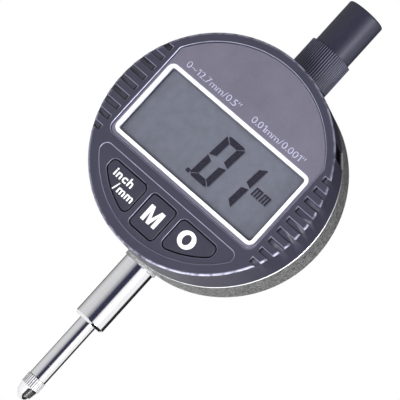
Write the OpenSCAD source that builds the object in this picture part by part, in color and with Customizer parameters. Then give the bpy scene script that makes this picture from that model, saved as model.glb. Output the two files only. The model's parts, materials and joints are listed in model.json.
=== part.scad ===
// Digital dial indicator: a round display head that turns on a metal gauge housing, with an
// 8 mm stem, a spring-loaded spindle and a screwed dust cap. Millimetres.
// The origin is on the spindle's axis, halfway along the exposed stem.
// +Z runs up the spindle, the display faces -Y and +X is to its right.
// "Depth" is counted back from the display's front face.

/* [Body] */
// Radius of the display head and of the metal housing
body_r = 28.5; // [28.5:0.1:29]
// Depth of the display head's shell
head_depth = 12.4; // [12.2:0.1:12.4]
// Depth of the whole body, from the front face to the back cover
body_depth = 24.4; // [24.4:0.1:24.8]
// Depth of the spindle's axis behind the front face
axis_depth = 17.8; // [17.7:0.1:17.9]

/* [Stem and spindle] */
// Radius of the mounting stem
stem_r = 4; // [4]
// Lower end of the stem, counted down from the body's centre
stem_end = 47.1; // [44:0.1:50]
// Radius of the spindle
spindle_r = 2.25; // [2.2:0.05:2.25]
// Lower end of the spindle, counted down from the body's centre
spindle_end = 64.4; // [62:0.1:68]
// Travel of the spindle
travel = 12.7; // [10:0.1:12.7]

/* [Dust cap] */
// Radius of the knurled collar
collar_r = 5.65; // [5.5:0.05:5.65]
// Height of the collar's top above the body's centre
collar_top = 37.3; // [36.5:0.1:39]
// Radius of the plain sleeve
sleeve_r = 4.95; // [4.9:0.05:5.1]
// Height of the sleeve's top above the body's centre
sleeve_top = 49.8; // [49.5:0.1:54]

/* [Display] */
// Radius of the curved top of the faceplate
face_r = 26.1; // [25.8:0.1:26.2]
// Half the width of the faceplate
face_half_w = 22.2; // [22.1:0.1:22.4]
// Half the width of the white window frame
frame_half_w = 21.62; // [21.5:0.01:21.65]
// Half the height of the white window frame
frame_half_h = 10.26; // [10.2:0.01:10.3]
// Width of the white line around the window
frame_line = 0.85; // [0.6:0.05:0.9]

/* [Buttons] */
// Gap between a button and its opening
button_gap = 0.3; // [0.3:0.05:0.35]
// How far a button goes in
button_travel = 0.4; // [0.3:0.1:0.4]

/* [Lug] */
// Radius of the hole in the back lug
lug_hole_r = 3.25; // [3.2:0.05:3.25]
// Thickness of the lug
lug_t = 5; // [5]
// Distance from the back cover to the hole's centre
lug_reach = 7; // [6.5:0.5:8]

/* [Hidden] */
$fn = 96;

// Height of the body's centre above the origin, which is halfway along the exposed stem
boss_low = 29.3;
centre_z = (stem_end + boss_low) / 2;

// Display head
edge_r = 0.35;
front_wall = 2.2;
side_wall_r = 26.7;
face_recess = 0.95;
face_sink = 0.35;
face_t = face_recess - face_sink;
face_low = -11.05;
face_high = 40;
face_corner = 1.8;
fit_gap = 0.15;
aperture_half_w = frame_half_w - frame_line - 0.15;
aperture_half_h = frame_half_h - frame_line - 0.15;
grip_pitch = 3.03;
grip_h = 1.35;
grip_x = 23.7;
grip_depth = 0.45;
grip_last = 4;
head_posts = [[-12, 20], [12, 20], [-20.5, -14.5], [20.5, -14.5]];
board_posts = [[0, 21.5], [-24.8, 0], [24.8, 0]];
post_r = 1.8;
thread_r = 0.8;

// Button panel and buttons, in the plane of the front face
panel_r = 25.8;
panel_half_w = 20.5;
panel_top = -13.4;
panel_sink = 0.3;
key_r = 24;
key_top = -15.2;
side_key = [5.6, 16.2];
mode_half_w = 3.55;
mode_low = -24;
key_flange = [2.5, 3.1];
key_foot = 4.5;
key_centres = [[-9.6, -18.6], [0, -19.6], [9.6, -18.6]];

// Data socket in the side of the head
port_angle = 42.3;
port_w = 4.2;
port_front = 1.4;
port_through = 10.3;
port_floor_r = 28.1;

// Boards and the display panel, as depths
lcd_depth = [2.3, 4.1];
lcd_half = [22.8, 11.3];
board_depth = [6.5, 7.5];
board_r = 26;

// The neck on which the head turns
housing_front = 12.7;
retainer_depth = [10.6, 11.8];
neck_r = 20;
neck_flange_r = 21;
neck_front = 9.4;
turn_gap = 0.1;
seal_ring_r = 24.2;
seal_wire_r = 0.5;
seal_depth = 12.55;

// Metal housing
housing_wall = 14.2;
cavity_r = 26.5;
cover_t = 1.5;
cover_r = 27.7;
cover_depth = body_depth - cover_t;
gasket_t = 0.3;
cover_posts = [[-19, -14.6], [19, -14.6], [-19, 14.6], [19, 14.6]];
cover_post_r = 2.6;
shine_edge = 0.4;
lug_foot_t = 1.5;
lug_foot_half = 11.8;
lug_root_half = 7.6;
lug_screw_z = [-9.7, 9.7];
boss_top = 28.6;
cap_gap = 0.2;

// Battery, held in the left of the housing
battery_x = -15.6;
battery_r = 10;
battery_depth = [17.2, 20.4];
cap_r = 10.9;

// Spindle and its bearings, as heights from the body's centre
run_gap = 0.03;
bush_r = 3;
bush_length = 10;
top_bush_r = 3.15;
stem_top = -22;
stem_seat_r = 3.75;
neck_top = 34;
spindle_top = 34;
rod_x = 13.5;
rod_r = 1.5;
rod_seats = [[-21.5, -17], [19, 22.4]];
sensor_depth = [housing_wall, 15];
board_screw_spots = [[6, -18.1], [6, 18.1]];
block_z = [-12, -4];
stop_gap = 0.3;
stop_r = 3.3;
spring_top = rod_seats[1][0];
spring_wire = 0.2;
spring_coil_r = 2.15;
spring_turns = 9;

// Contact point
contact_r = 2.45;
contact_collar = 2.65;
contact_cone = 2.25;
contact_tip_r = 1.82;
ball_r = 1.5;
ball_centre = spindle_end + contact_collar + contact_cone - 0.1;

// Puts a shape drawn about the body's centre, with its own Z towards the viewer, into the part
module about_dial() {
    translate([0, -axis_depth, centre_z]) rotate([90, 0, 0]) children();
}

// Extrudes a flat outline from one depth to another
module slab(front, back) {
    about_dial() translate([0, 0, -back]) linear_extrude(back - front) children();
}

// A ring about the body's centre line
module ring(r_out, r_in, front, back) {
    slab(front, back) difference() {
        circle(r_out);
        circle(r_in);
    }
}

// A solid about the spindle's axis: heights are counted from the body's centre
module on_spindle(low, high, r, x = 0) {
    translate([x, 0, centre_z + low]) cylinder(r = r, h = high - low);
}

// Points along an arc
function arc(c, r, from, to, n = 8) =
    [for (i = [0 : n]) c + r * [cos(from + (to - from) * i / n), sin(from + (to - from) * i / n)]];

// A rectangle with round corners
module round_rect(half_w, half_h, r) {
    polygon(concat(
        arc([half_w - r, half_h - r], r, 0, 90),
        arc([r - half_w, half_h - r], r, 90, 180),
        arc([r - half_w, r - half_h], r, 180, 270),
        arc([half_w - r, r - half_h], r, 270, 360)
    ));
}

// A disc with straight-sided teeth round it
module fluted(r, tooth, count) {
    polygon([for (i = [0 : 2 * count - 1])
        (i % 2 == 0 ? r : r - tooth) * [cos(i * 180 / count), sin(i * 180 / count)]]);
}

// Rounds every corner of an outline
module rounded(r) {
    offset(r = r, $fn = 48) offset(delta = -r) children();
}

// A screw with its head at one depth and its end at another; positive length runs to the front
module dial_screw(at, head_depth, length, head_r, head_t) {
    about_dial() translate([at[0], at[1], -head_depth]) difference() {
        union() {
            cylinder(r1 = head_r, r2 = thread_r, h = head_t, $fn = 32);
            cylinder(r = thread_r, h = length, $fn = 24);
        }
        for (a = [0, 90]) rotate(a) cube([head_r * 1.2, 0.3, head_t], center = true);
    }
}

module face_outline(grow = 0) {
    intersection() {
        circle(face_r + grow, $fn = 180);
        translate([0, (face_low + face_high) / 2])
            round_rect(face_half_w + grow, (face_high - face_low) / 2 + grow, face_corner + grow);
    }
}

module panel_outline() {
    rounded(1.5) intersection() {
        circle(panel_r, $fn = 180);
        translate([-panel_half_w, panel_top - 30]) square([2 * panel_half_w, 30]);
    }
}

module side_key_outline(grow = 0) {
    offset(delta = grow) rounded(1.2) intersection() {
        circle(key_r, $fn = 180);
        translate([side_key[0], key_top - 20]) square([side_key[1] - side_key[0], 20]);
    }
}

module mode_key_outline(grow = 0) {
    translate([0, (key_top + mode_low) / 2])
        round_rect(mode_half_w + grow, (key_top - mode_low) / 2 + grow, 0.9 + grow);
}

// Places children at the angle of the data socket, with X pointing out of the head
module at_port() {
    about_dial() rotate(port_angle) children();
}

module front_shell() color("#4b4a5a") difference() {
    union() {
        difference() {
            about_dial() translate([0, 0, -head_depth]) rotate_extrude($fn = 180) {
                square([body_r, head_depth - edge_r]);
                square([body_r - edge_r, head_depth]);
                translate([body_r - edge_r, head_depth - edge_r]) circle(edge_r, $fn = 24);
            }
            slab(front_wall, head_depth + 1) circle(side_wall_r);
        }
        for (p = head_posts) slab(front_wall - 0.2, retainer_depth[0]) translate(p) circle(post_r, $fn = 32);
        for (p = board_posts) slab(front_wall - 0.2, board_depth[0]) translate(p) circle(1.3, $fn = 32);
    }
    slab(-1, face_recess) face_outline(fit_gap);
    slab(-1, front_wall + 1) round_rect(aperture_half_w, aperture_half_h, 0.8);
    slab(-1, panel_sink) panel_outline();
    for (side = [0, 1]) slab(-1, front_wall + 1) mirror([side, 0]) side_key_outline(button_gap);
    slab(-1, front_wall + 1) mode_key_outline(button_gap);
    for (side = [0, 1]) for (i = [-grip_last : grip_last])
        slab(-1, grip_depth) mirror([side, 0])
            translate([grip_x, i * grip_pitch - grip_h / 2]) square([8, grip_h]);
    at_port() translate([side_wall_r - 1.2, -port_w / 2, -port_through])
        cube([4, port_w, port_through - port_front]);
    at_port() translate([port_floor_r, -port_w / 2, -head_depth - 1])
        cube([4, port_w, head_depth + 1 - port_front]);
    for (p = head_posts) slab(retainer_depth[0] - 4, retainer_depth[0] + 1)
        translate(p) circle(thread_r, $fn = 24);
    for (p = board_posts) slab(board_depth[0] - 3, board_depth[0] + 1)
        translate(p) circle(thread_r, $fn = 24);
}

module faceplate() color("#7d788c") slab(face_sink, face_recess) difference() {
    face_outline();
    round_rect(frame_half_w + 0.02, frame_half_h + 0.02, 1.65);
}

module window_frame() color("white") slab(face_sink - 0.05, face_recess) difference() {
    round_rect(frame_half_w, frame_half_h, 1.63);
    round_rect(frame_half_w - frame_line, frame_half_h - frame_line, 0.78);
}

module lcd_window() color("#b8c0c8", 0.3) slab(face_sink, face_recess)
    round_rect(frame_half_w - frame_line - 0.02, frame_half_h - frame_line - 0.02, 0.76);

module lcd_panel() color("#7a7f88") slab(lcd_depth[0], lcd_depth[1])
    round_rect(lcd_half[0], lcd_half[1], 0.3);

// A tray behind the panel that keeps it and the two rubber strips square to the board
module lcd_holder() color("#303038") difference() {
    slab(lcd_depth[0] + 0.3, board_depth[0] - 0.05) round_rect(lcd_half[0] + 0.45, lcd_half[1] + 0.7, 0.4);
    slab(lcd_depth[0] - 1, lcd_depth[1] + 0.05) round_rect(lcd_half[0] + 0.1, lcd_half[1] + 0.1, 0.3);
    slab(lcd_depth[1] - 1, board_depth[0] + 1) square([40, 15], center = true);
    for (side = [-1, 1]) slab(lcd_depth[1] - 1, board_depth[0] + 1)
        translate([0, side * 9.6]) square([40.6, 2.2], center = true);
}

module zebra_strips() color("#55555c") for (side = [-1, 1])
    slab(lcd_depth[1] + 0.02, board_depth[0] - 0.02) translate([0, side * 9.6])
        square([40, 1.8], center = true);

module main_board() color("#2f6b45") {
    difference() {
        slab(board_depth[0], board_depth[1]) circle(board_r);
        for (p = head_posts) slab(board_depth[0] - 1, board_depth[1] + 1)
            translate(p) circle(post_r + 0.2, $fn = 32);
        for (p = board_posts) slab(board_depth[0] - 1, board_depth[1] + 1)
            translate(p) circle(thread_r + 0.1, $fn = 24);
        at_port() translate([22.4, -2.8, -board_depth[1] - 1]) cube([8, 5.6, 3]);
    }
    slab(board_depth[1] - 0.1, board_depth[1] + 1) translate([-4, 4]) circle(4.5, $fn = 48);
    for (x = [6, 10, 14]) slab(board_depth[1] - 0.1, board_depth[1] + 0.7)
        translate([x, 8]) square([1.6, 0.9], center = true);
}

module key_pad() color("#3a3a40") {
    difference() {
        slab(board_depth[0] - 0.9, board_depth[0] - 0.05) intersection() {
            circle(side_wall_r - 1, $fn = 180);
            translate([-18, -40]) square([36, 40 - 14]);
        }
        slab(board_depth[0] - 2, board_depth[0]) for (p = head_posts) translate(p) circle(2.1, $fn = 32);
    }
    for (p = key_centres) slab(board_depth[0] - 1.3, board_depth[0] - 0.8) translate(p) circle(2, $fn = 48);
}

// A button: a flat head in the panel, a flange behind the front wall and a foot over its switch
module key_body(centre) {
    slab(panel_sink, key_flange[0] + 0.1) children(0);
    slab(key_flange[0], key_flange[1]) children(1);
    slab(key_flange[1] - 0.1, key_foot) translate(centre) circle(1.8, $fn = 48);
}

module button_unit() color("#454455") key_body(key_centres[0]) {
    mirror([1, 0]) side_key_outline();
    mirror([1, 0]) side_key_outline(0.65);
}

module button_mode() color("#454455") key_body(key_centres[1]) {
    mode_key_outline();
    mode_key_outline(0.65);
}

module button_zero() color("#454455") key_body(key_centres[2]) {
    side_key_outline();
    side_key_outline(0.65);
}

module data_socket() color("#26262c") at_port() difference() {
    translate([22.8, -2.4, -10.3]) cube([3.2, 4.8, 7.7]);
    translate([25.2, -1.6, -9.5]) cube([2, 3.2, 6]);
}

module socket_contacts() color("gold") at_port() for (i = [-1.5 : 1.5])
    translate([24.4, i * 0.75 - 0.2, -9]) cube([1.1, 0.4, 5]);

module board_screws() color("silver") for (p = board_posts)
    dial_screw(p, board_depth[1] + 0.7, 3.4, 1.4, 0.7);

module head_retainer() color("#8f8f8c") difference() {
    ring(26.2, neck_r + turn_gap, retainer_depth[0], retainer_depth[1]);
    for (p = head_posts) about_dial() translate([p[0], p[1], -retainer_depth[1] - 0.01])
        cylinder(r1 = 1.62, r2 = thread_r + 0.1, h = 0.75, $fn = 32);
    for (p = head_posts) slab(retainer_depth[0] - 1, retainer_depth[1] + 1)
        translate(p) circle(thread_r + 0.1, $fn = 24);
}

module retainer_screws() color("silver") for (p = head_posts)
    dial_screw(p, retainer_depth[1], 4.4, 1.5, 0.7);

// A die-cast cup: front wall with the turning neck, side wall, four posts, and the two bearing seats
module rear_housing() color("#80807c") difference() {
    union() {
        about_dial() translate([0, 0, -body_depth]) rotate_extrude($fn = 180) polygon([
            [cavity_r, 0], [body_r - 0.6, 0], [body_r, 0.6],
            [body_r, body_depth - housing_front - shine_edge],
            [body_r - shine_edge, body_depth - housing_front],
            [neck_r, body_depth - housing_front], [neck_r, body_depth - neck_front - 0.9],
            [neck_flange_r, body_depth - neck_front - 0.9], [neck_flange_r, body_depth - neck_front],
            [neck_r - 2, body_depth - neck_front], [neck_r - 2, body_depth - housing_wall],
            [cavity_r, body_depth - housing_wall]
        ]);
        slab(housing_wall - 0.2, cover_depth - gasket_t)
            for (p = cover_posts) translate(p) circle(cover_post_r, $fn = 48);
        intersection() {
            union() {
                on_spindle(-27.6, stem_top - 0.6, stem_r + 1.6);
                on_spindle(23, 27.6, stem_r + 1.6);
                for (z = rod_seats) on_spindle(z[0], z[1], 3.2, rod_x);
                for (z = rod_seats) translate([rod_x - 3.2, housing_wall - axis_depth - 0.2, centre_z + z[0]])
                    cube([6.4, axis_depth - housing_wall + 0.2, z[1] - z[0]]);
            }
            slab(housing_wall - 0.2, cover_depth) circle(cavity_r + 1);
        }
        on_spindle(-boss_low, -27, 4.4);
        on_spindle(27, boss_top, 5);
    }
    slab(cover_depth - gasket_t, body_depth + 1) circle(cover_r + 0.05);
    on_spindle(-boss_low - 1, stem_top, stem_seat_r);
    on_spindle(22, boss_top + 1, stem_seat_r);
    on_spindle(-20, 23, rod_r, rod_x);
    ring(seal_ring_r + seal_wire_r, seal_ring_r - seal_wire_r, housing_front - 1, housing_front + 0.35);
    for (p = cover_posts) slab(cover_depth - 5, cover_depth + 1) translate(p) circle(thread_r, $fn = 24);
    for (p = board_screw_spots) slab(sensor_depth[0] - 4, sensor_depth[0] + 1)
        translate(p) circle(thread_r, $fn = 24);
}

module head_seal() color("#202020") about_dial() translate([0, 0, -seal_depth])
    rotate_extrude($fn = 120) translate([seal_ring_r, 0]) circle(seal_wire_r, $fn = 24);

module lug_outline() {
    hull() {
        circle(6, $fn = 64);
        translate([-lug_reach, -lug_root_half]) square([1, 2 * lug_root_half]);
    }
}

// An ear with the clamping hole on a foot that is screwed to the back cover
module back_lug() color("#8a8a88") difference() {
    union() {
        slab(body_depth, body_depth + lug_foot_t) round_rect(4.2, lug_foot_half, 1.2);
        translate([-lug_t / 2, body_depth - axis_depth + lug_reach, centre_z])
            rotate([90, 0, 90]) linear_extrude(lug_t) lug_outline();
    }
    translate([-lug_t, body_depth - axis_depth + lug_reach, centre_z])
        rotate([0, 90, 0]) cylinder(r = lug_hole_r, h = 2 * lug_t);
    for (z = lug_screw_z) slab(body_depth - 1, body_depth + lug_foot_t + 1)
        translate([0, z]) circle(thread_r + 0.1, $fn = 24);
    for (z = lug_screw_z) about_dial() translate([0, z, -body_depth - lug_foot_t - 0.01])
        cylinder(r1 = 1.62, r2 = thread_r + 0.1, h = 0.75, $fn = 32);
}

module lug_screws() color("silver") for (z = lug_screw_z)
    dial_screw([0, z], body_depth + lug_foot_t, 4.2, 1.5, 0.7);

module back_cover() color("#5a5a58") difference() {
    slab(cover_depth, body_depth) circle(cover_r, $fn = 180);
    for (z = lug_screw_z) slab(cover_depth - 1, body_depth + 1) translate([0, z]) circle(thread_r, $fn = 24);
    slab(cover_depth - 1, body_depth + 1) translate([battery_x, 0]) circle(cap_r + turn_gap);
    for (p = cover_posts) slab(cover_depth - 1, body_depth + 1) translate(p) circle(thread_r + 0.1, $fn = 24);
    for (p = cover_posts) slab(body_depth - 0.7, body_depth + 1) translate(p) circle(1.8, $fn = 32);
    for (a = [0, 60]) slab(body_depth - 0.25, body_depth + 1) translate([battery_x, 0])
        rotate(a) translate([cap_r + 0.6, -0.2]) square([1.4, 0.4]);
}

module cover_gasket() color("#2a2a2a")
    ring(cover_r - 0.1, cavity_r + 0.2, cover_depth - gasket_t, cover_depth);

module cover_screws() color("silver") for (p = cover_posts) about_dial()
    translate([p[0], p[1], -body_depth]) difference() {
        union() {
            cylinder(r = 1.7, h = 0.7, $fn = 32);
            cylinder(r = thread_r, h = 5, $fn = 24);
        }
        for (a = [0, 90]) rotate(a + 20) cube([2.2, 0.45, 0.8], center = true);
    }

module battery_tray() color("#303038") difference() {
    slab(15.6, 21.6) translate([battery_x, 0]) circle(battery_r + 0.45);
    slab(16.4, 22) translate([battery_x, 0]) circle(battery_r + 0.1);
    slab(16.4, 22) translate([battery_x, battery_r + 0.2]) square([3, 1.6], center = true);
}

module battery_contacts() color("gold") {
    slab(16.45, 16.75) translate([battery_x, 0]) square([14, 3], center = true);
    slab(16.7, battery_depth[0] - 0.02) translate([battery_x, 0]) circle(1.5, $fn = 32);
    slab(16.5, 20.5) translate([battery_x, battery_r + 0.25]) square([2.6, 0.3], center = true);
}

module battery() color("silver") {
    slab(battery_depth[0] + 0.4, battery_depth[1]) translate([battery_x, 0]) circle(battery_r);
    slab(battery_depth[0], battery_depth[0] + 0.5) translate([battery_x, 0]) circle(battery_r - 1.4);
}

module battery_cap() color("#3c3c44") difference() {
    slab(21.9, body_depth) translate([battery_x, 0]) circle(cap_r);
    about_dial() translate([battery_x, 0, -23.8])
        rotate_extrude() translate([cap_r - 0.6, 0]) square([2, 0.6]);
    slab(21, 22.5) translate([battery_x, 0]) circle(cap_r - 1.2);
    slab(body_depth - 1.1, body_depth + 1) translate([battery_x, 0]) square([14, 1.9], center = true);
}

module battery_seal() color("#202020") about_dial() translate([battery_x, 0, -23.5])
    rotate_extrude() translate([cap_r - 0.3, 0]) circle(0.28, $fn = 24);

// A turned tube: the exposed stretch is the clamping diameter, the rest is pressed into the housing
module stem() color("#c9c9cc") translate([0, 0, centre_z - stem_end]) rotate_extrude() polygon([
    [bush_r, 0], [stem_r - 0.65, 0], [stem_r, 0.65], [stem_r, stem_end - boss_low],
    [stem_seat_r, stem_end - boss_low], [stem_seat_r, stem_end + stem_top], [bush_r, stem_end + stem_top]
]);

module lower_bush() color("#b08d57") difference() {
    on_spindle(-stem_end + 0.2, -stem_end + bush_length, bush_r);
    on_spindle(-stem_end - 1, -stem_end + bush_length + 1, spindle_r + run_gap);
}

module top_neck() color("#9a9a98") difference() {
    on_spindle(22.6, neck_top, stem_seat_r);
    on_spindle(22, neck_top + 1, top_bush_r);
}

module upper_bush() color("#b08d57") difference() {
    on_spindle(23.5, neck_top - 0.5, top_bush_r);
    on_spindle(23, neck_top, spindle_r + run_gap);
}

module spindle() color("#cfcfd2") difference() {
    on_spindle(-spindle_end, spindle_top, spindle_r);
    on_spindle(-spindle_end - 1, -spindle_end + 5, 1.25);
}

module contact_point() color("#b9b9bc") difference() {
    union() {
        translate([0, 0, centre_z - spindle_end - contact_collar]) linear_extrude(contact_collar - 0.05)
            fluted(contact_r, 0.16, 28);
        translate([0, 0, centre_z - spindle_end - contact_collar - contact_cone])
            cylinder(r1 = contact_tip_r, r2 = contact_r - 0.15, h = contact_cone + 0.05);
        on_spindle(-spindle_end - 0.1, -spindle_end + 4.8, 1.23);
    }
    translate([0, 0, centre_z - ball_centre]) sphere(ball_r);
}

module contact_ball() color("#d8d8dc")
    translate([0, 0, centre_z - ball_centre]) sphere(ball_r - 0.01);

// Clamped to the spindle: carries the scale plate and slides on the guide rod
module spindle_block() color("#b0b0b0") difference() {
    union() {
        translate([-4.2, 15.5 - axis_depth, centre_z + block_z[0]]) cube([6.9, 6, block_z[1] - block_z[0]]);
        translate([2, 16.3 - axis_depth, centre_z + block_z[0]]) cube([14, 4.2, block_z[1] - block_z[0]]);
    }
    on_spindle(block_z[0] - 1, block_z[1] + 1, spindle_r);
    on_spindle(block_z[0] - 1, block_z[1] + 1, rod_r + 0.05, rod_x);
    for (z = [-10, -6]) translate([-5, 0, centre_z + z]) rotate([0, 90, 0]) cylinder(r = 1, h = 3, $fn = 24);
}

module block_screws() color("#404040") for (z = [-10, -6])
    translate([-4.4, 0, centre_z + z]) rotate([0, 90, 0]) difference() {
        cylinder(r = 1, h = 2.1, $fn = 24);
        translate([0, 0, -0.5]) cylinder(r = 0.5, h = 1.2, $fn = 6);
    }

module scale_plate() color("#2f6b45")
    translate([4.4, 15.5 - axis_depth, centre_z - 16]) cube([5.2, 0.8, 20]);

module stop_sleeve() color("ivory") difference() {
    on_spindle(stem_top + stop_gap, block_z[0], stop_r);
    on_spindle(stem_top, block_z[0] + 1, spindle_r);
}

module guide_rod() color("silver") on_spindle(-20, 22.4, rod_r, rod_x);

// Round wire swept along a helix, with its end turns flat
spring_rings = spring_turns * 12;
function spring_point(i, a) =
    let (turn = 360 * i / 12,
         r = spring_coil_r + spring_wire * cos(a),
         low = block_z[1] + spring_wire + 0.02,
         high = spring_top - spring_wire - 0.02,
         z = low + (high - low) * i / spring_rings + spring_wire * sin(a))
    [rod_x + r * cos(turn), r * sin(turn), centre_z + z];
module return_spring() color("#a8a8a8") polyhedron(
    points = [for (i = [0 : spring_rings]) for (k = [0 : 5]) spring_point(i, k * 60)],
    faces = concat(
        [[for (k = [0 : 5]) k]],
        [[for (k = [5 : -1 : 0]) spring_rings * 6 + k]],
        [for (i = [0 : spring_rings - 1]) for (k = [0 : 5])
            [i * 6 + k, i * 6 + 6 + k, i * 6 + 6 + (k + 1) % 6, i * 6 + (k + 1) % 6]]
    ));

module sensor_board() color("#2f6b45") difference() {
    slab(sensor_depth[0], sensor_depth[1]) translate([4.2, -20]) square([5.7, 40]);
    for (p = board_screw_spots) slab(14, 16) translate(p) circle(thread_r + 0.1, $fn = 24);
}

module sensor_screws() color("silver") for (p = board_screw_spots)
    dial_screw(p, sensor_depth[1] + 0.25, 4, 1.4, 0.25);

// A flat ribbon wound as a loose clock spring, so that the head can turn
ribbon_turns = 2.5;
ribbon_t = 0.15;
function ribbon_edge(grow, n = 60) = [for (i = [0 : n])
    (7 + 4 * i / n + grow) * [cos(360 * ribbon_turns * i / n), sin(360 * ribbon_turns * i / n)]];
module flex_cable() color("#c08840") slab(11, 13.9) polygon(concat(
    ribbon_edge(ribbon_t), [for (i = [60 : -1 : 0]) ribbon_edge(0)[i]]
));

module knurled_collar() color("#34343c") difference() {
    translate([0, 0, centre_z + boss_top + cap_gap]) linear_extrude(collar_top - boss_top - cap_gap)
        fluted(collar_r, 0.16, 60);
    on_spindle(20, neck_top + 0.6, stem_seat_r + run_gap);
    on_spindle(neck_top + 0.5, collar_top + 1, 4.4);
}

module cap_sleeve() color("#3a3a44") difference() {
    translate([0, 0, centre_z]) rotate_extrude() {
        translate([0, neck_top + 0.6]) square([4.38, collar_top - neck_top]);
        translate([0, collar_top]) square([sleeve_r, sleeve_top - collar_top - 0.5]);
        translate([0, collar_top]) square([sleeve_r - 0.5, sleeve_top - collar_top]);
        translate([sleeve_r - 0.5, sleeve_top - 0.5]) circle(0.5, $fn = 24);
    }
    on_spindle(neck_top, sleeve_top - 1.3, 3.4);
}

front_shell();
faceplate();
window_frame();
lcd_window();
lcd_panel();
lcd_holder();
zebra_strips();
main_board();
key_pad();
button_unit();
button_mode();
button_zero();
data_socket();
socket_contacts();
board_screws();
head_retainer();
retainer_screws();
rear_housing();
head_seal();
back_cover();
back_lug();
lug_screws();
cover_gasket();
cover_screws();
battery_tray();
battery_contacts();
battery();
battery_cap();
battery_seal();
stem();
lower_bush();
top_neck();
upper_bush();
spindle();
contact_point();
contact_ball();
spindle_block();
block_screws();
scale_plate();
stop_sleeve();
guide_rod();
return_spring();
sensor_board();
sensor_screws();
flex_cable();
knurled_collar();
cap_sleeve();
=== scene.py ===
import json
import math

import bmesh
import bpy
from mathutils import Matrix, Vector


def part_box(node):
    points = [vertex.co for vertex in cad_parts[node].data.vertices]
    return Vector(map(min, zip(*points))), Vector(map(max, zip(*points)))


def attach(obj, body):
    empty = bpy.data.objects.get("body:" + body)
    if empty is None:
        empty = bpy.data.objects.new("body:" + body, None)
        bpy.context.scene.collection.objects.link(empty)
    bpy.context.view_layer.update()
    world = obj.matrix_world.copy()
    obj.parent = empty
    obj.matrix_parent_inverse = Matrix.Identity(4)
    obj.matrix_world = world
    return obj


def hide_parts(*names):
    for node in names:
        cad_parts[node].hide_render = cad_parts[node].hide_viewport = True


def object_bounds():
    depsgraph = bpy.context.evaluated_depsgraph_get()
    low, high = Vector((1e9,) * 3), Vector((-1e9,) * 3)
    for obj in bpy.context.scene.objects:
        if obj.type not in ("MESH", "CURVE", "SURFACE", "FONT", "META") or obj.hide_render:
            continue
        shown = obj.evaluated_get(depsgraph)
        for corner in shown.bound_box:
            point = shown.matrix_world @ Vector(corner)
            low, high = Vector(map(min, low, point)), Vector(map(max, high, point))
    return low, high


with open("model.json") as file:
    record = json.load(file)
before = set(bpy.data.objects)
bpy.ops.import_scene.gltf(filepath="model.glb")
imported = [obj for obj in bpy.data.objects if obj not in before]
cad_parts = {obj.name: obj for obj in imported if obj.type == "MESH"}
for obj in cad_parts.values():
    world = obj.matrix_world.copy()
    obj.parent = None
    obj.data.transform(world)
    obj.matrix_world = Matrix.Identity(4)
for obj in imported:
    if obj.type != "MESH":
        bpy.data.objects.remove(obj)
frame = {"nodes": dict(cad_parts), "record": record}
cad_low, cad_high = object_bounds()
mm = 0.001


# ---- The viewer ----
# A long lens a little to the right of the gauge and just below it, with the whole gauge leaning
# 42 degrees to the right in the picture.
shell_low, shell_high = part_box("front_shell")
front_y = shell_low.y
dial_z = (shell_low.z + shell_high.z) / 2
dial_centre = Vector((0, front_y, dial_z))

view_turn = math.radians(17.0)
view_rise = math.radians(-3.26)
view_roll = math.radians(42.18)
view_distance = 600 * mm
picture_width = 90.48 * mm
film_width = 36
aim_right = 2.41 * mm
aim_up = 10.69 * mm

to_viewer = Vector((
    math.sin(view_turn) * math.cos(view_rise),
    -math.cos(view_turn) * math.cos(view_rise),
    math.sin(view_rise),
))
level = Vector((math.cos(view_turn), math.sin(view_turn), 0))
upright = to_viewer.cross(level)
right = level * math.cos(view_roll) + upright * math.sin(view_roll)
up = upright * math.cos(view_roll) - level * math.sin(view_roll)

camera = bpy.data.objects.new("camera", bpy.data.cameras.new("camera"))
bpy.context.scene.collection.objects.link(camera)
bpy.context.scene.camera = camera
camera.data.sensor_width = film_width
camera.data.lens = film_width * view_distance / picture_width
camera.data.clip_start = 10 * mm
camera.data.clip_end = 100
spot = dial_centre + to_viewer * view_distance - right * aim_right - up * aim_up
axes = Matrix((right, up, to_viewer)).transposed()
camera.matrix_world = Matrix.Translation(spot) @ axes.to_4x4()


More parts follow.
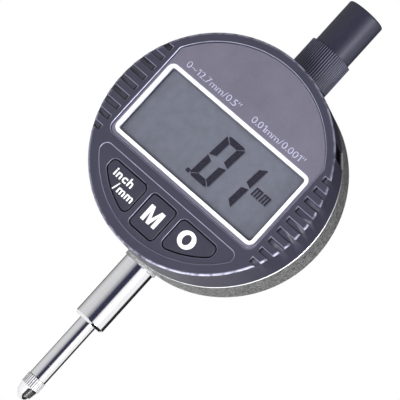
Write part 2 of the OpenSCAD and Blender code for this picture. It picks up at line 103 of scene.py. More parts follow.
# ---- Studio ----
# A white tent with a glowing pale floor well below the gauge, a small key light at the lower right
# and a soft light on each side. The tent is dark round the lens and a black card lies below on the
# right, and polished steel shows both as dark streaks.
class Wire:
    """A socket of a shader: sums and products of wires add the Math nodes that they need."""

    def __init__(self, tree, socket):
        self.tree = tree
        self.socket = socket

    def node(self, kind, settings, inputs, out=0):
        """Adds any other node. Its settings come first, then the values or wires of its sockets."""
        made = self.tree.nodes.new(kind)
        for name, value in settings.items():
            if name == "stops":
                ramp = made.color_ramp.elements
                while len(ramp) < len(value):
                    ramp.new(1)
                for stop, (place, colour) in zip(ramp, value):
                    stop.position = place
                    stop.color = colour
            else:
                setattr(made, name, value)
        for name, value in inputs.items():
            if isinstance(value, Wire):
                self.tree.links.new(value.socket, made.inputs[name])
            else:
                made.inputs[name].default_value = value
        if made.outputs:
            return Wire(self.tree, made.outputs[out])
        return None

    def math(self, operation, *others):
        """A Math node that takes this wire first."""
        inputs = dict(enumerate((self, *others)))
        return self.node("ShaderNodeMath", {"operation": operation}, inputs)

    def __add__(self, other):
        return self.math("ADD", other)

    def __sub__(self, other):
        return self.math("SUBTRACT", other)

    def __rsub__(self, other):
        return self.node("ShaderNodeMath", {"operation": "SUBTRACT"}, {0: other, 1: self})

    def __mul__(self, other):
        return self.math("MULTIPLY", other)

    def __abs__(self):
        return self.math("ABSOLUTE")

    __radd__ = __add__
    __rmul__ = __mul__

    def over(self, other):
        """The larger of two masks."""
        return self.math("MAXIMUM", other)

    def step(self, low, high):
        """A soft step from 0 at one value to 1 at another."""
        return self.node(
            "ShaderNodeMapRange",
            {"interpolation_type": "SMOOTHSTEP"},
            {"Value": self, "From Min": low, "From Max": high},
        )

    def band(self, start, full, fade, end):
        """A mask that is 1 between two values and falls softly to 0 on both sides."""
        return self.step(start, full) * (1 - self.step(fade, end))


def axis_of(place, letter):
    return place.node("ShaderNodeSeparateXYZ", {}, {0: place}, out=letter)


def studio_sheet(name, half, stretch, place):
    """A flat level sheet of the studio, with its middle at a place."""
    made = bpy.data.objects.new(name, bpy.data.meshes.new(name))
    bpy.context.scene.collection.objects.link(made)
    sheet = bmesh.new()
    bmesh.ops.create_grid(sheet, x_segments=1, y_segments=1, size=half)
    bmesh.ops.scale(sheet, verts=sheet.verts, vec=(1, stretch, 1))
    bmesh.ops.translate(sheet, verts=sheet.verts, vec=place)
    sheet.to_mesh(made.data)
    sheet.free()
    return made


floor_drop = 60 * mm
floor_half = 350 * mm
floor_glow = 0.8
floor = studio_sheet("floor", floor_half, 1, (0, 0, cad_low.z - floor_drop))

paper = bpy.data.materials.new("floor_paper")
paper.use_nodes = True
paper_shader = paper.node_tree.nodes["Principled BSDF"]
paper_shader.inputs["Base Color"].default_value = (0.9, 0.9, 0.9, 1)
paper_shader.inputs["Roughness"].default_value = 0.9
paper_shader.inputs["Specular IOR Level"].default_value = 0.0
paper_shader.inputs["Emission Color"].default_value = (1, 1, 1, 1)
paper_shader.inputs["Emission Strength"].default_value = floor_glow
floor.data.materials.append(paper)

world = bpy.data.worlds.new("studio")
bpy.context.scene.world = world
world.use_nodes = True
tent = world.node_tree
tent.nodes.clear()
sky = Wire(tent, tent.nodes.new("ShaderNodeTexCoord").outputs["Generated"])
east, north, height = [axis_of(sky, letter) for letter in "XYZ"]
# Angle round the gauge, from 0 to 1, with the viewer at 0.5
turn = east.math("ARCTAN2", -1 * north) - view_turn
turn = turn.math("WRAP", math.pi, -math.pi) * (0.5 / math.pi) + 0.5
# The tent's brightness that way round: grey on the left, dark at the lens, white on the right and
# dark behind. It fades toward the top.
walls = sky.node("ShaderNodeValToRGB", {"stops": [
    (0.06, (0.05, 0.05, 0.05, 1)),
    (0.12, (0.45, 0.45, 0.45, 1)),
    (0.185, (0.70, 0.70, 0.70, 1)),
    (0.25, (0.82, 0.82, 0.82, 1)),
    (0.37, (0.76, 0.76, 0.76, 1)),
    (0.43, (0.40, 0.40, 0.43, 1)),
    (0.465, (0.05, 0.05, 0.09, 1)),
    (0.545, (0.03, 0.03, 0.07, 1)),
    (0.565, (1.1, 1.1, 1.1, 1)),
    (0.80, (1.1, 1.1, 1.1, 1)),
    (0.825, (0.02, 0.02, 0.02, 1)),
    (1.00, (0.02, 0.02, 0.02, 1)),
]}, {"Fac": turn})
overhead = sky.node("ShaderNodeMapRange", {"interpolation_type": "SMOOTHSTEP"}, {
    "Value": height, "From Min": 0.15, "From Max": 0.9, "To Min": 1.0, "To Max": 0.25,
})
camera_ray = sky.node("ShaderNodeLightPath", {}, {}, out="Is Camera Ray")
soft_ray = sky.node("ShaderNodeLightPath", {}, {}, out="Is Diffuse Ray")
# Matt surfaces take less light from the tent than polished ones show
matt_loss = 0.65
strength = overhead * (1 - soft_ray * matt_loss)
seen = sky.node("ShaderNodeBackground", {}, {"Color": (1, 1, 1, 1), "Strength": 1.0})
lit = sky.node("ShaderNodeBackground", {}, {"Color": walls, "Strength": strength})
either = sky.node("ShaderNodeMixShader", {}, {0: camera_ray, 1: lit, 2: seen})
sky.node("ShaderNodeOutputWorld", {}, {"Surface": either})


def softbox(name, place, size, power, mirrored):
    """A square soft light that faces the gauge. Polished pieces may mirror it."""
    lamp = bpy.data.lights.new(name, "AREA")
    lamp.size = size
    lamp.energy = power
    made = bpy.data.objects.new(name, lamp)
    bpy.context.scene.collection.objects.link(made)
    made.location = dial_centre + Vector(place)
    made.rotation_mode = "QUATERNION"
    made.rotation_quaternion = (dial_centre - made.location).to_track_quat("-Z", "Y")
    made.visible_camera = False
    made.visible_glossy = mirrored


softbox("key_light", (0.160, -0.302, -0.111), size=0.08, power=1.5, mirrored=False)
softbox("left_light", (-0.42, -0.55, 0.30), size=0.20, power=0.8, mirrored=False)
softbox("right_light", (0.60, -0.24, 0.02), size=0.20, power=2.4, mirrored=True)

card_half = 100 * mm
card_right = 114 * mm
card_drop = 40 * mm
card = studio_sheet("black_card", card_half, 2, (card_right, 0, cad_low.z - card_drop))
card.visible_camera = False
card.visible_diffuse = False
card.visible_shadow = False
black_paper = bpy.data.materials.new("black_paper")
black_paper.use_nodes = True
black_shader = black_paper.node_tree.nodes["Principled BSDF"]
black_shader.inputs["Base Color"].default_value = (0.01, 0.01, 0.01, 1)
card.data.materials.append(black_paper)
bpy.context.scene.view_settings.view_transform = "Standard"


# ---- Shell of the display head ----
# A round moulded cup of hard blue-grey plastic with finger slots down both sides, a sunken place for
# the printed plate and a shallow panel round the keys. Its rim and edges carry a painted highlight,
# and its grooves and slots a painted shade.
def paint(red, green, blue):
    """A colour swatch, in the usual 0 to 255, as the linear colour that shaders take."""
    shares = [value / 255 for value in (red, green, blue)]
    linear = [((x + 0.055) / 1.055) ** 2.4 if x > 0.04 else x / 12.92 for x in shares]
    return (*linear, 1)


def finish(name, fixed):
    """A material with its fixed values set, and the wire that tells where a point of the piece is."""
    made = bpy.data.materials.new(name)
    made.use_nodes = True
    for socket, value in fixed.items():
        made.node_tree.nodes["Principled BSDF"].inputs[socket].default_value = value
    coords = made.node_tree.nodes.new("ShaderNodeTexCoord")
    return made, Wire(made.node_tree, coords.outputs["Object"])


def vary(made, changing):
    """Links what changes over the surface to the material's shader."""
    shader = made.node_tree.nodes["Principled BSDF"]
    for socket, wire in changing.items():
        made.node_tree.links.new(wire.socket, shader.inputs[socket])


def grain(place, size, detail=2.0):
    """Noise with lumps of about this size."""
    inputs = {"Vector": place, "Scale": 1 / size, "Detail": detail}
    return place.node("ShaderNodeTexNoise", {}, inputs)


def mixed(amount, first, second):
    """A colour between two others."""
    inputs = {0: amount, 6: first, 7: second}
    return amount.node("ShaderNodeMix", {"data_type": "RGBA"}, inputs, out=2)


def bumps(heights, depth):
    return heights.node("ShaderNodeBump", {}, {"Height": heights, "Distance": depth})


def on_dial(place):
    """Where a point is: sideways and up from the dial's middle, behind its front, and how far from
    the line through its middle."""
    sideways = axis_of(place, "X")
    upward = axis_of(place, "Z") - dial_z
    behind = axis_of(place, "Y") - front_y
    radius = (sideways * sideways + upward * upward).math("SQRT")
    return sideways, upward, behind, radius


def toward_key_light(sideways, upward, start, full):
    """Grows toward the lower right, where the key light falls; it weights painted highlights."""
    return (sideways * 0.8 - upward * 0.6).step(start, full)


def body_of(node):
    bodies = frame["record"]["behaviour"]["bodies"]
    return [name for name, nodes in bodies.items() if node in nodes][0]


def coated(nodes, made):
    """Gives CAD pieces their finish as they are."""
    for node in nodes:
        own = frame["nodes"][node].data
        own.materials.clear()
        own.materials.append(made)


# Faces that meet at less than the first angle are one face, and at more than the second an edge
flat_angle = math.radians(1)
edge_angle = math.radians(35)


def dressed(node, made, edge=0.0, steps=2, edge_highlight=None, within=1.0):
    """A merged and smoothed copy of a CAD piece, with a small round on its edges, perhaps in a second
    finish that paints a highlight on them.

    Inner corners stay sharp, and so do edges farther than this from the centre line of the dial.
    """
    piece = bpy.data.objects.new(node + "_skin", bpy.data.meshes.new(node + "_skin"))
    bpy.context.scene.collection.objects.link(piece)
    skin = bmesh.new()
    skin.from_mesh(frame["nodes"][node].data)
    bmesh.ops.remove_doubles(skin, verts=skin.verts, dist=0.002 * mm)
    bmesh.ops.dissolve_limit(skin, angle_limit=flat_angle, verts=skin.verts, edges=skin.edges)
    for face in skin.faces:
        face.smooth = True
    outer = skin.edges.layers.float.new("bevel_weight_edge")
    for line in skin.edges:
        middle = (line.verts[0].co + line.verts[1].co) / 2 - dial_centre
        near = math.hypot(middle.x, middle.z) < within
        if near and len(line.link_faces) == 2 and line.calc_face_angle_signed() > edge_angle:
            line[outer] = 1
    skin.to_mesh(piece.data)
    skin.free()
    piece.data.materials.clear()
    piece.data.materials.append(made)
    if edge:
        rounding = piece.modifiers.new("edges", "BEVEL")
        rounding.width = edge
        rounding.segments = steps
        rounding.limit_method = "WEIGHT"
        rounding.use_clamp_overlap = False
        if edge_highlight:
            piece.data.materials.append(edge_highlight)
            rounding.material = 1
    shade = piece.modifiers.new("shade", "WEIGHTED_NORMAL")
    shade.keep_sharp = True
    piece.data.set_sharp_from_angle(angle=edge_angle)
    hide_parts(node)
    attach(piece, body_of(node))
    return piece


grip_pitch = 3.03 * mm
highlight_width = 0.45 * mm
rim_r = shell_high.x - 0.2 * mm
shade_black = paint(9, 9, 13)
head_plastic, place = finish("dial_plastic", {"IOR": 1.5})
sideways, upward, behind, radius = on_dial(place)
mottle = grain(place, 0.35 * mm, 3)
cloud = grain(place, 6 * mm)
# Painted highlight: the rim's edge is painted light in patches, most toward the lower right, where the
# key light falls
rim_highlight = radius.step(rim_r - highlight_width, rim_r) * (1 - behind.step(0.1 * mm, highlight_width))
rim_highlight = rim_highlight * grain(place, 1.5 * mm).step(0.3, 0.6)
rim_highlight = rim_highlight * (0.35 + toward_key_light(sideways, upward, 10 * mm, 27 * mm) * 0.65)
# Painted shade darkens the grooves round the keys and the plate and the bottom of the notch in the side,
# and a painted shadow darkens the inner end and the lower side of each finger slot
grooves = behind.step(0.60 * mm, 0.80 * mm) * (1 - radius.step(26.2 * mm, 26.4 * mm))
port = behind.step(0.90 * mm, 1.20 * mm) * (1 - radius.step(28.2 * mm, 28.4 * mm))
slots = abs(sideways).step(23.4 * mm, 23.5 * mm) * (1 - abs(upward).step(12.8 * mm, 12.9 * mm))
slots = slots * behind.band(0.30 * mm, 0.36 * mm, 0.50 * mm, 0.55 * mm)
inner_end = 1 - abs(sideways).step(24.05 * mm, 24.25 * mm)
from_slot = upward.math("WRAP", grip_pitch / 2, -grip_pitch / 2)
low_side = 1 - from_slot.step(-0.50 * mm, -0.36 * mm)
painted_shade = grooves.over(slots * inner_end.over(low_side * 0.75)).over(port)
plain = mixed(mottle * 0.7 + cloud * 0.3, paint(45, 44, 58), paint(59, 58, 74))
vary(head_plastic, {
    "Base Color": mixed(rim_highlight, mixed(painted_shade, plain, shade_black), paint(186, 186, 208)),
    "Roughness": 0.32 + mottle * 0.12,
    "Normal": bumps(grain(place, 0.12 * mm, 1), 0.006 * mm),
})
# Painted highlight: a light lilac, half metallic plastic on the shell's rounded edges shows a light line
# along them
edge_highlight_plastic, place = finish("edge_highlight_plastic", {"IOR": 1.6, "Metallic": 0.5})
sideways, upward, behind, radius = on_dial(place)
blotch = grain(place, 2.5 * mm)
# The painted highlight is weaker on the edges round the keys, round the notch in the side and in the
# slots, most of all on the slots' lower sides
keys = (1 - upward.step(-14.6 * mm, -14.3 * mm)) * (1 - radius.step(24.9 * mm, 25.2 * mm))
notch = behind.band(1.0 * mm, 1.3 * mm, 11.9 * mm, 12.2 * mm)
slots = abs(sideways).step(23.2 * mm, 23.4 * mm) * (1 - abs(upward).step(13.1 * mm, 13.2 * mm))
slots = slots * (1 - radius.step(28.0 * mm, 28.1 * mm))
from_slot = upward.math("WRAP", grip_pitch / 2, -grip_pitch / 2)
low_side = 1 - from_slot.step(-0.1 * mm, 0.1 * mm)
less_highlight = (keys * 0.5).over(notch * 0.75).over(slots * (0.3 + low_side * 0.45))
edge_highlight = mixed(blotch, paint(124, 123, 146), paint(176, 175, 198))
vary(edge_highlight_plastic, {
    "Base Color": mixed(less_highlight, edge_highlight, paint(40, 39, 52)),
    "Roughness": 0.26 + blotch * 0.12,
})
dressed("front_shell", head_plastic, 0.17 * mm, 2, edge_highlight_plastic, 28.1 * mm)


# ---- Printed plate ----
# A thin metal plate with a matt lilac-grey print, stuck in the sunken place round the window. Its
# measuring range and steps are printed in pale letters above the window.
plate_print, place = finish("plate_print", {"IOR": 1.45})
speckle = grain(place, 0.22 * mm, 3)
cloud = grain(place, 5 * mm, 3)
vary(plate_print, {
    "Base Color": mixed(speckle * 0.55 + cloud * 0.45, paint(81, 79, 92), paint(116, 113, 129)),
    "Roughness": 0.42 + speckle * 0.16,
    "Normal": bumps(speckle, 0.006 * mm),
})
# Painted highlight: the plate's rounded edge is painted a light lilac, so it shows a light line
plate_edge_highlight, place = finish("plate_edge_highlight", {"Metallic": 0.5, "Roughness": 0.3})
blotch = grain(place, 1.2 * mm)
vary(plate_edge_highlight, {"Base Color": mixed(blotch, paint(150, 150, 176), paint(205, 205, 232))})
dressed("faceplate", plate_print, 0.10 * mm, 2, plate_edge_highlight)


def stood_up(name, work, front, thickness, made, body):
    """Makes a piece of a flat outline drawn in x and y: it stands on the dial, facing forwards."""
    bmesh.ops.remove_doubles(work, verts=work.verts, dist=0.001 * mm)
    bmesh.ops.dissolve_limit(work, angle_limit=flat_angle, verts=work.verts, edges=work.edges)
    bmesh.ops.rotate(work, verts=work.verts, matrix=Matrix.Rotation(math.radians(90), 3, "X"))
    bmesh.ops.translate(work, verts=work.verts, vec=(0, front_y + front, dial_z))
    work.normal_update()
    for face in work.faces:
        if face.normal.y > 0:
            face.normal_flip()
    bmesh.ops.solidify(work, geom=work.faces[:], thickness=thickness)
    piece = bpy.data.objects.new(name, bpy.data.meshes.new(name))
    bpy.context.scene.collection.objects.link(piece)
    work.to_mesh(piece.data)
    work.free()
    piece.data.materials.append(made)
    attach(piece, body)
    return piece


# In the font's own unit: a capital's height, the gaps between letters, and the flag of the 1
capital = 0.682
letter_gap = 0.10
dot_gap = 0.05
flag_wide = 0.15
flag_tip_low = 0.50
flag_tip_high = 0.59
flag_root = 0.585
# The print's thickness, and how far its face stands in front of what it is printed on
print_thickness = 0.03 * mm
print_proud = 0.02 * mm


def lettering(name, words, ends, foot, rise, front, made, body, bold=0.0):
    """Print on the dial: words between two ends, on a base line, with a given height."""
    work = bmesh.new()
    pen = 0.0
    for sign in words:
        font = bpy.data.curves.new("draft", "FONT")
        font.body = sign
        font.offset = bold
        font.resolution_u = 5
        draft = bpy.data.objects.new("draft", font)
        bpy.context.scene.collection.objects.link(draft)
        bpy.context.view_layer.update()
        glyph = bpy.data.meshes.new_from_object(draft)
        bpy.data.objects.remove(draft)
        bpy.data.curves.remove(font)
        before = len(work.verts)
        work.from_mesh(glyph)
        bpy.data.meshes.remove(glyph)
        work.verts.ensure_lookup_table()
        fresh = work.verts[before:]
        left = min(v.co.x for v in fresh)
        width = max(v.co.x for v in fresh) - left
        if sign == "1":
            # The plain stroke gets a flag
            tip = left - flag_wide
            flag = [(left, capital), (tip, flag_tip_high), (tip, flag_tip_low), (left + 0.01, flag_root)]
            work.faces.new([work.verts.new((x, y, 0)) for x, y in flag])
            work.verts.ensure_lookup_table()
            fresh = work.verts[before:]
            left = tip
            width += flag_wide
        bmesh.ops.translate(work, verts=fresh, vec=(pen - left, 0, 0))
        pen += width + (dot_gap if sign == "." else letter_gap)
    pen -= letter_gap
    size = Vector(((ends[1] - ends[0]) / pen, rise / capital, 1))
    bmesh.ops.scale(work, verts=work.verts, vec=size)
    bmesh.ops.translate(work, verts=work.verts, vec=(ends[0], foot, 0))
    return stood_up(name, work, front, print_thickness, made, body)


plate_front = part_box("faceplate")[0].y - front_y
range_ink, place = finish("range_ink", {"Roughness": 0.5})
vary(range_ink, {
    "Base Color": mixed(grain(place, 0.15 * mm), paint(168, 168, 196), paint(200, 200, 224)),
})
range_foot = 11.42 * mm
range_rise = 1.62 * mm
for name, words, ends in (
    ("range_text", "0~12.7mm/0.5″", (-18.6 * mm, -2.2 * mm)),
    ("step_text", "0.01mm/0.001″", (1.8 * mm, 17.7 * mm)),
):
    lettering(name, words, ends, range_foot, range_rise, plate_front - print_proud, range_ink,
              "display_head", bold=-0.008)


# ---- White frame and window ----
# A white line is printed round the window, which is a clear hard-coated sheet let into the plate.
frame_white, place = finish("frame_white", {"IOR": 1.45})
chalk = grain(place, 0.3 * mm)
vary(frame_white, {
    "Base Color": mixed(chalk, (0.86, 0.86, 0.87, 1), (0.93, 0.93, 0.93, 1)),
    "Roughness": 0.35 + chalk * 0.1,
})
dressed("window_frame", frame_white, 0.05 * mm)
window_clear, place = finish("window_clear", {"Base Color": (0.05, 0.05, 0.06, 1), "IOR": 1.49})
smear = grain(place, 7 * mm, 3)
vary(window_clear, {
    "Roughness": 0.05 + smear * 0.06,
    "Alpha": 0.03 + smear * 0.02,
})
dressed("lcd_window", window_clear)


# ---- Liquid crystal display ----
# A glass sandwich with a grey mirror film at its back. The digits lie a little above the film, and a
# grey sheet behind them is their soft shadow on it, a painted shadow. The film is painted darker near
# the window's left and top edges, a painted shade. It shows .01 and the unit.
display_glass, place = finish("display_glass", {"IOR": 1.52})
cell = grain(place, 0.25 * mm)
drift = grain(place, 14 * mm)
aperture_low, aperture_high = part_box("lcd_window")
# Painted shade: the film is painted dark toward the window's left and top edges
shade_start = -0.6 * mm
shade_end = 0.7 * mm
from_left = (axis_of(place, "X") - aperture_low.x).step(shade_start, shade_end)
from_top = (aperture_high.z - axis_of(place, "Z")).step(shade_start, shade_end)
open_field = from_left * from_top
patchy = grain(place, 2.2 * mm, 3).step(0.3, 0.7)
film = mixed(cell * 0.3 + drift * 0.2 + patchy * 0.5, paint(94, 99, 107), paint(110, 111, 127))
vary(display_glass, {
    "Base Color": mixed(open_field, paint(62, 66, 70), film),
    "Roughness": 0.30 + cell * 0.1,
})
dressed("lcd_panel", display_glass, 0.05 * mm)

digit_ink, place = finish("digit_ink", {"Roughness": 0.5, "Specular IOR Level": 0.2})
vary(digit_ink, {"Base Color": mixed(grain(place, 0.4 * mm), paint(32, 30, 42), paint(42, 40, 52))})
# Painted shadow: a grey sheet behind the digits, offset to the lower right, stands for their shadow on
# the film
shadow_film, place = finish("shadow_film", {"Roughness": 0.5})
vary(shadow_film, {"Base Color": mixed(grain(place, 0.4 * mm), paint(74, 78, 88), paint(84, 88, 99))})

# A digit's seven strokes: the upright ones' width, the level ones' height, their cut corners and the
# slits between them
stroke = 1.68 * mm
bar = 1.50 * mm
mitre = 0.34 * mm
slit = 0.08 * mm
foot_cut = 0.72 * mm
digit_half = 2.85 * mm
digit_rise = 6.32 * mm
digit_slant = math.tan(math.radians(5.0))
digit_mid = -0.33 * mm
zero_right = 1.93 * mm
one_right = 8.98 * mm
dot_half = 0.48 * mm
dot_at = (-2.00 * mm, -6.13 * mm)
# The unit is two signs of three legs under a roof
unit_rights = (12.80 * mm, 15.22 * mm)
unit_foot = -1.05 * mm
unit_height = 2.25 * mm
leg = 0.44 * mm
leg_pitch = 0.77 * mm
roof = 0.30 * mm
film_thickness = 0.012 * mm


def patch(work, corners, shift):
    """A flat face with its corners given in the digit's own upright frame, slanted and shifted."""
    points = [(x + y * digit_slant + shift[0], y + shift[1], 0) for x, y in corners]
    work.faces.new([work.verts.new(point) for point in points])


def upright_stroke(work, side, half, shift):
    """One of a digit's four upright strokes: side -1 is left, half 1 is upper."""
    outer = side * digit_half
    inner = side * (digit_half - stroke)
    corners = [
        (outer, half * (slit + 0.05 * mm)),
        (inner, half * (slit + foot_cut)),
        (inner, half * (digit_rise - bar - slit)),
        (outer - side * mitre * 0.2, half * (digit_rise - mitre - slit)),
        (outer, half * (digit_rise - 2.2 * mitre)),
    ]
    patch(work, corners, shift)


def crossbar(work, half, shift):
    """A digit's top or bottom stroke."""
    edge = digit_half - mitre - 1.3 * slit
    inner = digit_half - stroke - 1.3 * slit
    corners = [
        (-edge, half * (digit_rise - mitre)),
        (mitre - edge, half * digit_rise),
        (edge - mitre, half * digit_rise),
        (edge, half * (digit_rise - mitre)),
        (inner, half * (digit_rise - bar)),
        (-inner, half * (digit_rise - bar)),
    ]
    patch(work, corners, shift)


def reading(name, made, front, offset):
    """The whole reading, at one depth and with one sideways offset."""
    work = bmesh.new()
    zero = (zero_right + offset[0], digit_mid + offset[1])
    one = (one_right + offset[0], digit_mid + offset[1])
    for half in (-1, 1):
        upright_stroke(work, -1, half, zero)
        upright_stroke(work, 1, half, zero)
        crossbar(work, half, zero)
        upright_stroke(work, 1, half, one)
    dot = [(-dot_half, -dot_half), (dot_half, -dot_half), (dot_half, dot_half), (-dot_half, dot_half)]
    patch(work, dot, (dot_at[0] + offset[0], dot_at[1] + offset[1]))
    for start in unit_rights:
        shift = (start + offset[0], unit_foot + offset[1])
        for left in (0, leg_pitch, 2 * leg_pitch):
            legs = [(left, 0), (left + leg, 0), (left + leg, unit_height), (left, unit_height)]
            patch(work, legs, shift)
        end = 2 * leg_pitch
        eaves = unit_height - roof
        patch(work, [(leg, eaves), (end, eaves), (end, unit_height), (leg, unit_height)], shift)
    return stood_up(name, work, front, film_thickness, made, "display_head")


panel_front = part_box("lcd_panel")[0].y - front_y
reading("digits", digit_ink, panel_front - 0.045 * mm, (0, 0))
# The painted shadow sheet
reading("digit_shadows", shadow_film, panel_front - 0.018 * mm, (0.26 * mm, -0.10 * mm))


# ---- Inside the head ----
# A black tray squares the display and its two rubber contact strips to the round green board. The
# keys' rubber pad lies on the board, and three small screws hold the board to the shell.
black_moulding, place = finish("black_moulding", {"Roughness": 0.5})
vary(black_moulding, {
    "Base Color": mixed(grain(place, 0.5 * mm), paint(34, 34, 38), paint(48, 48, 54)),
    "Normal": bumps(grain(place, 0.15 * mm), 0.01 * mm),
})
coated(["lcd_holder", "battery_tray"], black_moulding)
rubber, place = finish("rubber", {"Specular IOR Level": 0.3})
crumb = grain(place, 0.3 * mm, 3)
vary(rubber, {
    "Base Color": mixed(crumb, paint(30, 30, 33), paint(46, 46, 50)),
    "Roughness": 0.7 + crumb * 0.2,
    "Normal": bumps(crumb, 0.02 * mm),
})
coated(["zebra_strips", "key_pad", "head_seal", "battery_seal", "cover_gasket"], rubber)
board_green, place = finish("board_green", {"IOR": 1.5})
weave = grain(place, 0.4 * mm, 3)
tracks = place.node("ShaderNodeTexBrick", {}, {"Vector": place, "Scale": 1 / (3 * mm)}, out="Fac")
vary(board_green, {
    "Base Color": mixed(tracks * 0.5 + weave * 0.3, paint(24, 84, 50), paint(70, 132, 78)),
    "Roughness": 0.3 + weave * 0.2,
})
coated(["main_board", "sensor_board", "scale_plate"], board_green)
screw_steel, place = finish("screw_steel", {"Metallic": 1.0})
scratch = grain(place, 0.2 * mm, 4)
vary(screw_steel, {
    "Base Color": mixed(scratch, paint(150, 150, 154), paint(200, 200, 204)),
    "Roughness": 0.22 + scratch * 0.25,
    "Normal": bumps(scratch, 0.006 * mm),
})
coated(["board_screws", "retainer_screws", "sensor_screws", "block_screws"], screw_steel)


# ---- Keys ----
# Three hard plastic keys, a shade darker than the shell, with bold white printing. Each has a flange
# behind the shell's wall and sinks a little under a finger.
key_plastic, place = finish("key_plastic", {"IOR": 1.5})
mottle = grain(place, 0.4 * mm, 3)
# Painted shade: the keys turn near black deeper than half a millimetre behind the dial's front
painted_shade = (axis_of(place, "Y") - front_y).step(0.50 * mm, 0.80 * mm)
vary(key_plastic, {
    "Base Color": mixed(painted_shade, mixed(mottle, paint(40, 39, 52), paint(54, 53, 67)), shade_black),
    "Roughness": 0.34 + mottle * 0.12,
    "Normal": bumps(grain(place, 0.12 * mm, 1), 0.006 * mm),
})
for key in ("button_unit", "button_mode", "button_zero"):
    dressed(key, key_plastic, 0.12 * mm, 2)
key_ink, place = finish("key_ink", {"Roughness": 0.45})
chalk = grain(place, 0.2 * mm)
vary(key_ink, {"Base Color": mixed(chalk, (0.84, 0.84, 0.86, 1), (0.95, 0.95, 0.95, 1))})
key_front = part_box("button_mode")[0].y - front_y - print_proud
key_rise = 1.95 * mm
for name, words, ends, foot in (
    ("unit_text_upper", "inch", (-14.1 * mm, -8.5 * mm), -18.15 * mm),
    ("unit_text_lower", "/mm", (-12.0 * mm, -6.2 * mm), -20.75 * mm),
):
    lettering(name, words, ends, foot, key_rise, key_front, key_ink,
              body_of("button_unit"), bold=0.028)
mode_sign = bmesh.new()
mode_at = (-0.05 * mm, -21.6 * mm, 0)
# Half of the capital M, in millimetres from the middle of its foot
half_sign = [(0, 0), (0, 1.5), (1.02, 4.2), (2.14, 4.2), (2.14, 0), (1.18, 0), (1.18, 3.0), (0.42, 0)]
for side in (-1, 1):
    mode_sign.faces.new([mode_sign.verts.new((side * x * mm, y * mm, 0)) for x, y in half_sign])
bmesh.ops.translate(mode_sign, verts=mode_sign.verts, vec=mode_at)
stood_up("mode_text", mode_sign, key_front, print_thickness, key_ink,
         body_of("button_mode"))
ring_sign = bmesh.new()
ring_at = (9.55 * mm, -18.4 * mm, 0)
for half_wide, half_high in ((2.25 * mm, 2.2 * mm), (1.02 * mm, 1.32 * mm)):
    oval = bmesh.ops.create_circle(ring_sign, segments=64, radius=1)
    bmesh.ops.scale(ring_sign, verts=oval["verts"], vec=(half_wide, half_high, 1))
bmesh.ops.bridge_loops(ring_sign, edges=ring_sign.edges)
bmesh.ops.translate(ring_sign, verts=ring_sign.verts, vec=ring_at)
stood_up("zero_text", ring_sign, key_front, print_thickness, key_ink,
         body_of("button_zero"))


# ---- Data socket ----
# A black plastic socket on the edge of the board, reached through the notch in the shell's side,
# with four gold plated spring contacts.
coated(["data_socket"], black_moulding)
gold_plate, place = finish("gold_plate", {"Metallic": 1.0})
vary(gold_plate, {
    "Base Color": mixed(grain(place, 0.3 * mm), paint(214, 170, 86), paint(240, 200, 120)),
    "Roughness": 0.2 + grain(place, 0.2 * mm) * 0.2,
})
coated(["socket_contacts", "battery_contacts"], gold_plate)


# ---- Metal housing ----
# A die-cast alloy cup, blasted and clear lacquered, so that it sparkles. Its front corner, where the
# head turns against it, is turned bright. The ring that holds the head on sits inside.
cast_alloy, place = finish("cast_alloy", {})
sideways, upward, behind, radius = on_dial(place)
housing_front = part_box("head_retainer")[1].y - front_y + 0.9 * mm
front_edge = 1 - behind.step(housing_front + 0.38 * mm, housing_front + 0.52 * mm)
front_edge = front_edge * radius.step(27.95 * mm, 28.05 * mm)
# The boss round the stem is turned bright too, but has dulled
boss = (1 - upward.step(-28.0 * mm, -27.8 * mm)) * (1 - abs(sideways).step(4.6 * mm, 4.8 * mm))
bright = front_edge.over(boss * 0.35)
# Painted highlight: the turned bands are painted grey, turning near white toward the lower right, where
# the key light falls
bare_with_highlight = mixed(toward_key_light(sideways, upward, 8 * mm, 26 * mm), paint(128, 128, 131), paint(248, 248, 250))
speck = grain(place, 0.32 * mm, 1)
clump = grain(place, 0.70 * mm, 2)
cloud = grain(place, 5 * mm)
sparkle = (speck * 0.65 + clump * 0.35).step(0.38, 0.62)
blasted = mixed(sparkle * 0.85 + cloud * 0.15, paint(20, 20, 21), paint(168, 168, 169))
vary(cast_alloy, {
    "Base Color": mixed(bright, blasted, bare_with_highlight),
    "Metallic": 0.5 - bright * 0.3,
    "Roughness": (1 - bright) * (0.36 + speck * 0.3) + bright * 0.25,
    "Normal": bumps((speck + clump) * (1 - bright), 0.05 * mm),
})
dressed("rear_housing", cast_alloy, 0.08 * mm)


def lathe_marks(place, pitch):
    """Fine rings round the centre line of the dial."""
    inputs = {"W": on_dial(place)[3], "Scale": 1 / pitch}
    return place.node("ShaderNodeTexNoise", {"noise_dimensions": "1D"}, inputs)


turned_alloy, place = finish("turned_alloy", {"Metallic": 1.0})
swirl = lathe_marks(place, 0.12 * mm)
vary(turned_alloy, {
    "Base Color": mixed(swirl, paint(140, 140, 142), paint(190, 190, 192)),
    "Roughness": 0.25 + swirl * 0.2,
    "Normal": bumps(swirl, 0.01 * mm),
})
coated(["head_retainer"], turned_alloy)


# ---- Back cover ----
# A turned aluminium disc, anodised black, let into the back of the housing on a gasket, and held by
# four small cross-slotted screws in counterbores.
cover_black, place = finish("cover_black", {"Metallic": 0.6})
swirl = lathe_marks(place, 0.2 * mm)
dust = grain(place, 0.3 * mm, 3)
vary(cover_black, {
    "Base Color": mixed(swirl * 0.6 + dust * 0.4, paint(52, 52, 58), paint(84, 84, 92)),
    "Roughness": 0.30 + swirl * 0.16 + dust * 0.08,
    "Normal": bumps(swirl, 0.012 * mm),
})
dressed("back_cover", cover_black, 0.12 * mm)
dressed("cover_screws", screw_steel, 0.06 * mm)


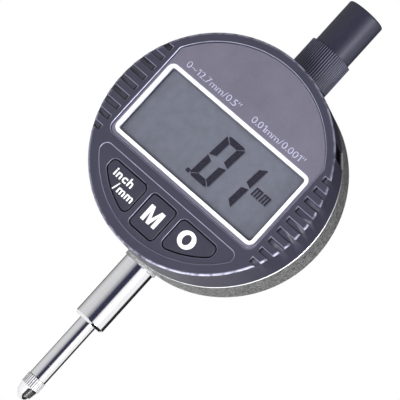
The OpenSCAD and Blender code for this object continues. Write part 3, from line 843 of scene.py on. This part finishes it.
# ---- Lug ----
# A cast ear with a hole for a clamping screw, on a flat foot screwed to the cover.
lug_alloy, place = finish("lug_alloy", {"Metallic": 0.85})
speck = grain(place, 0.16 * mm, 1)
clump = grain(place, 0.6 * mm, 3)
vary(lug_alloy, {
    "Base Color": mixed(speck * 0.5 + clump * 0.5, paint(104, 104, 103), paint(176, 176, 174)),
    "Roughness": 0.34 + speck * 0.26,
    "Normal": bumps(speck + clump, 0.03 * mm),
})
dressed("back_lug", lug_alloy, 0.25 * mm, 3)
dressed("lug_screws", screw_steel, 0.06 * mm)


# ---- Battery ----
# A button cell in its tray, behind a screwed plastic cap with a coin slot and a sealing ring.
cell_steel, place = finish("cell_steel", {"Metallic": 1.0})
blotch = grain(place, 0.8 * mm, 4)
vary(cell_steel, {
    "Base Color": mixed(blotch, paint(170, 170, 172), paint(210, 210, 212)),
    "Roughness": 0.2 + blotch * 0.2,
})
coated(["battery"], cell_steel)
cap_plastic, place = finish("cap_plastic", {"IOR": 1.5})
mottle = grain(place, 0.35 * mm, 3)
vary(cap_plastic, {
    "Base Color": mixed(mottle, paint(44, 43, 54), paint(60, 59, 73)),
    "Roughness": 0.4 + mottle * 0.14,
    "Normal": bumps(grain(place, 0.15 * mm, 1), 0.012 * mm),
})
dressed("battery_cap", cap_plastic, 0.18 * mm, 3)


# ---- Stem ----
# An 8 mm tube of stainless steel, ground and polished, pressed into the housing. It carries a bronze
# bush, and a second bush sits in the short neck at the top.
polished_steel, place = finish("polished_steel", {"Metallic": 1.0})
hairline = place.node("ShaderNodeTexNoise", {}, {
    "Vector": place.node("ShaderNodeMapping", {}, {"Vector": place, "Scale": (1, 1, 30)}),
    "Scale": 1 / (3 * mm), "Detail": 3.0,
})
vary(polished_steel, {
    "Base Color": mixed(hairline, paint(218, 218, 222), paint(240, 240, 242)),
    "Roughness": 0.09 + hairline * 0.05,
    "Normal": bumps(hairline, 0.0006 * mm),
})
dressed("stem", polished_steel, 0.08 * mm)
coated(["top_neck"], turned_alloy)
bush_bronze, place = finish("bush_bronze", {"Metallic": 1.0})
pores = grain(place, 0.2 * mm, 4)
vary(bush_bronze, {
    "Base Color": mixed(pores, paint(150, 112, 62), paint(200, 160, 100)),
    "Roughness": 0.3 + pores * 0.25,
})
coated(["lower_bush", "upper_bush"], bush_bronze)


# ---- Spindle and contact point ----
# The hardened and polished spindle slides in the two bushes. A steel point with a fluted collar for
# the fingers and a hard ball at its tip screws into its lower end.
def from_spindle(place):
    """Distance from the spindle's centre line."""
    across = axis_of(place, "X")
    deep = axis_of(place, "Y")
    return (across * across + deep * deep).math("SQRT")


dressed("spindle", polished_steel, 0.06 * mm)
contact_steel, place = finish("contact_steel", {})
wear = grain(place, 0.3 * mm, 3)
point_low, point_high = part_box("contact_point")
collar_low = point_low.z + 2.2 * mm
fluted = axis_of(place, "Z").step(collar_low, collar_low + 0.1 * mm)
# Painted shade: the valleys of the collar's flutes are painted near black
valley_shade = 1 - from_spindle(place).step(point_high.x - 0.12 * mm, point_high.x - 0.07 * mm)
steel = mixed(wear, paint(226, 226, 229), paint(244, 244, 246))
vary(contact_steel, {
    "Base Color": mixed(valley_shade * fluted * 0.9, steel, paint(24, 24, 30)),
    "Metallic": 1 - fluted * 0.6,
    "Roughness": 0.12 + wear * 0.1 + fluted * 0.2,
    "Normal": bumps(wear, 0.001 * mm),
})
dressed("contact_point", contact_steel)
dressed("contact_ball", polished_steel)


# ---- Inside the housing ----
# A block clamped to the spindle carries the scale plate past the sensor board and slides on a guide
# rod, whose spring returns it. A nylon sleeve is the lower stop.
coated(["spindle_block"], turned_alloy)
nylon, place = finish("nylon", {"Roughness": 0.5, "Subsurface Weight": 0.1})
cloud = grain(place, 0.5 * mm)
vary(nylon, {"Base Color": mixed(cloud, paint(222, 218, 204), paint(240, 236, 224))})
coated(["stop_sleeve"], nylon)
coated(["guide_rod"], polished_steel)
spring_steel, place = finish("spring_steel", {"Metallic": 1.0})
scratch = grain(place, 0.3 * mm)
vary(spring_steel, {
    "Base Color": mixed(scratch, paint(130, 130, 134), paint(176, 176, 180)),
    "Roughness": 0.25 + scratch * 0.2,
})
coated(["return_spring"], spring_steel)
flex_film, place = finish("flex_film", {"Roughness": 0.3})
cloud = grain(place, 0.6 * mm)
vary(flex_film, {"Base Color": mixed(cloud, paint(176, 108, 40), paint(204, 140, 66))})
coated(["flex_cable"], flex_film)


# ---- Dust cap ----
# A blackened metal cap over the top end of the spindle: a collar with a straight knurl that screws
# on the neck, and a plain sleeve pressed into it.
cap_black, place = finish("cap_black", {"IOR": 1.5, "Specular Tint": (0.85, 0.85, 1.0, 1)})
sheen = grain(place, 0.25 * mm, 3)
out = from_spindle(place)
knurl_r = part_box("knurled_collar")[1].x
# Painted highlight on the knurl's ridges and painted shade in its grooves
ridge_highlight = out.step(knurl_r - 0.07 * mm, knurl_r - 0.01 * mm)
groove_shade = out.band(knurl_r - 0.40 * mm, knurl_r - 0.36 * mm, knurl_r - 0.13 * mm, knurl_r - 0.07 * mm)
black = mixed(sheen, paint(26, 26, 38), paint(48, 48, 63))
black = mixed(groove_shade, black, paint(8, 8, 12))
vary(cap_black, {
    "Base Color": mixed(ridge_highlight, black, paint(104, 104, 128)),
    "Roughness": 0.38 + sheen * 0.12,
    "Normal": bumps(grain(place, 0.12 * mm, 1), 0.004 * mm),
})
dressed("knurled_collar", cap_black, 0.05 * mm)
dressed("cap_sleeve", cap_black, 0.10 * mm)
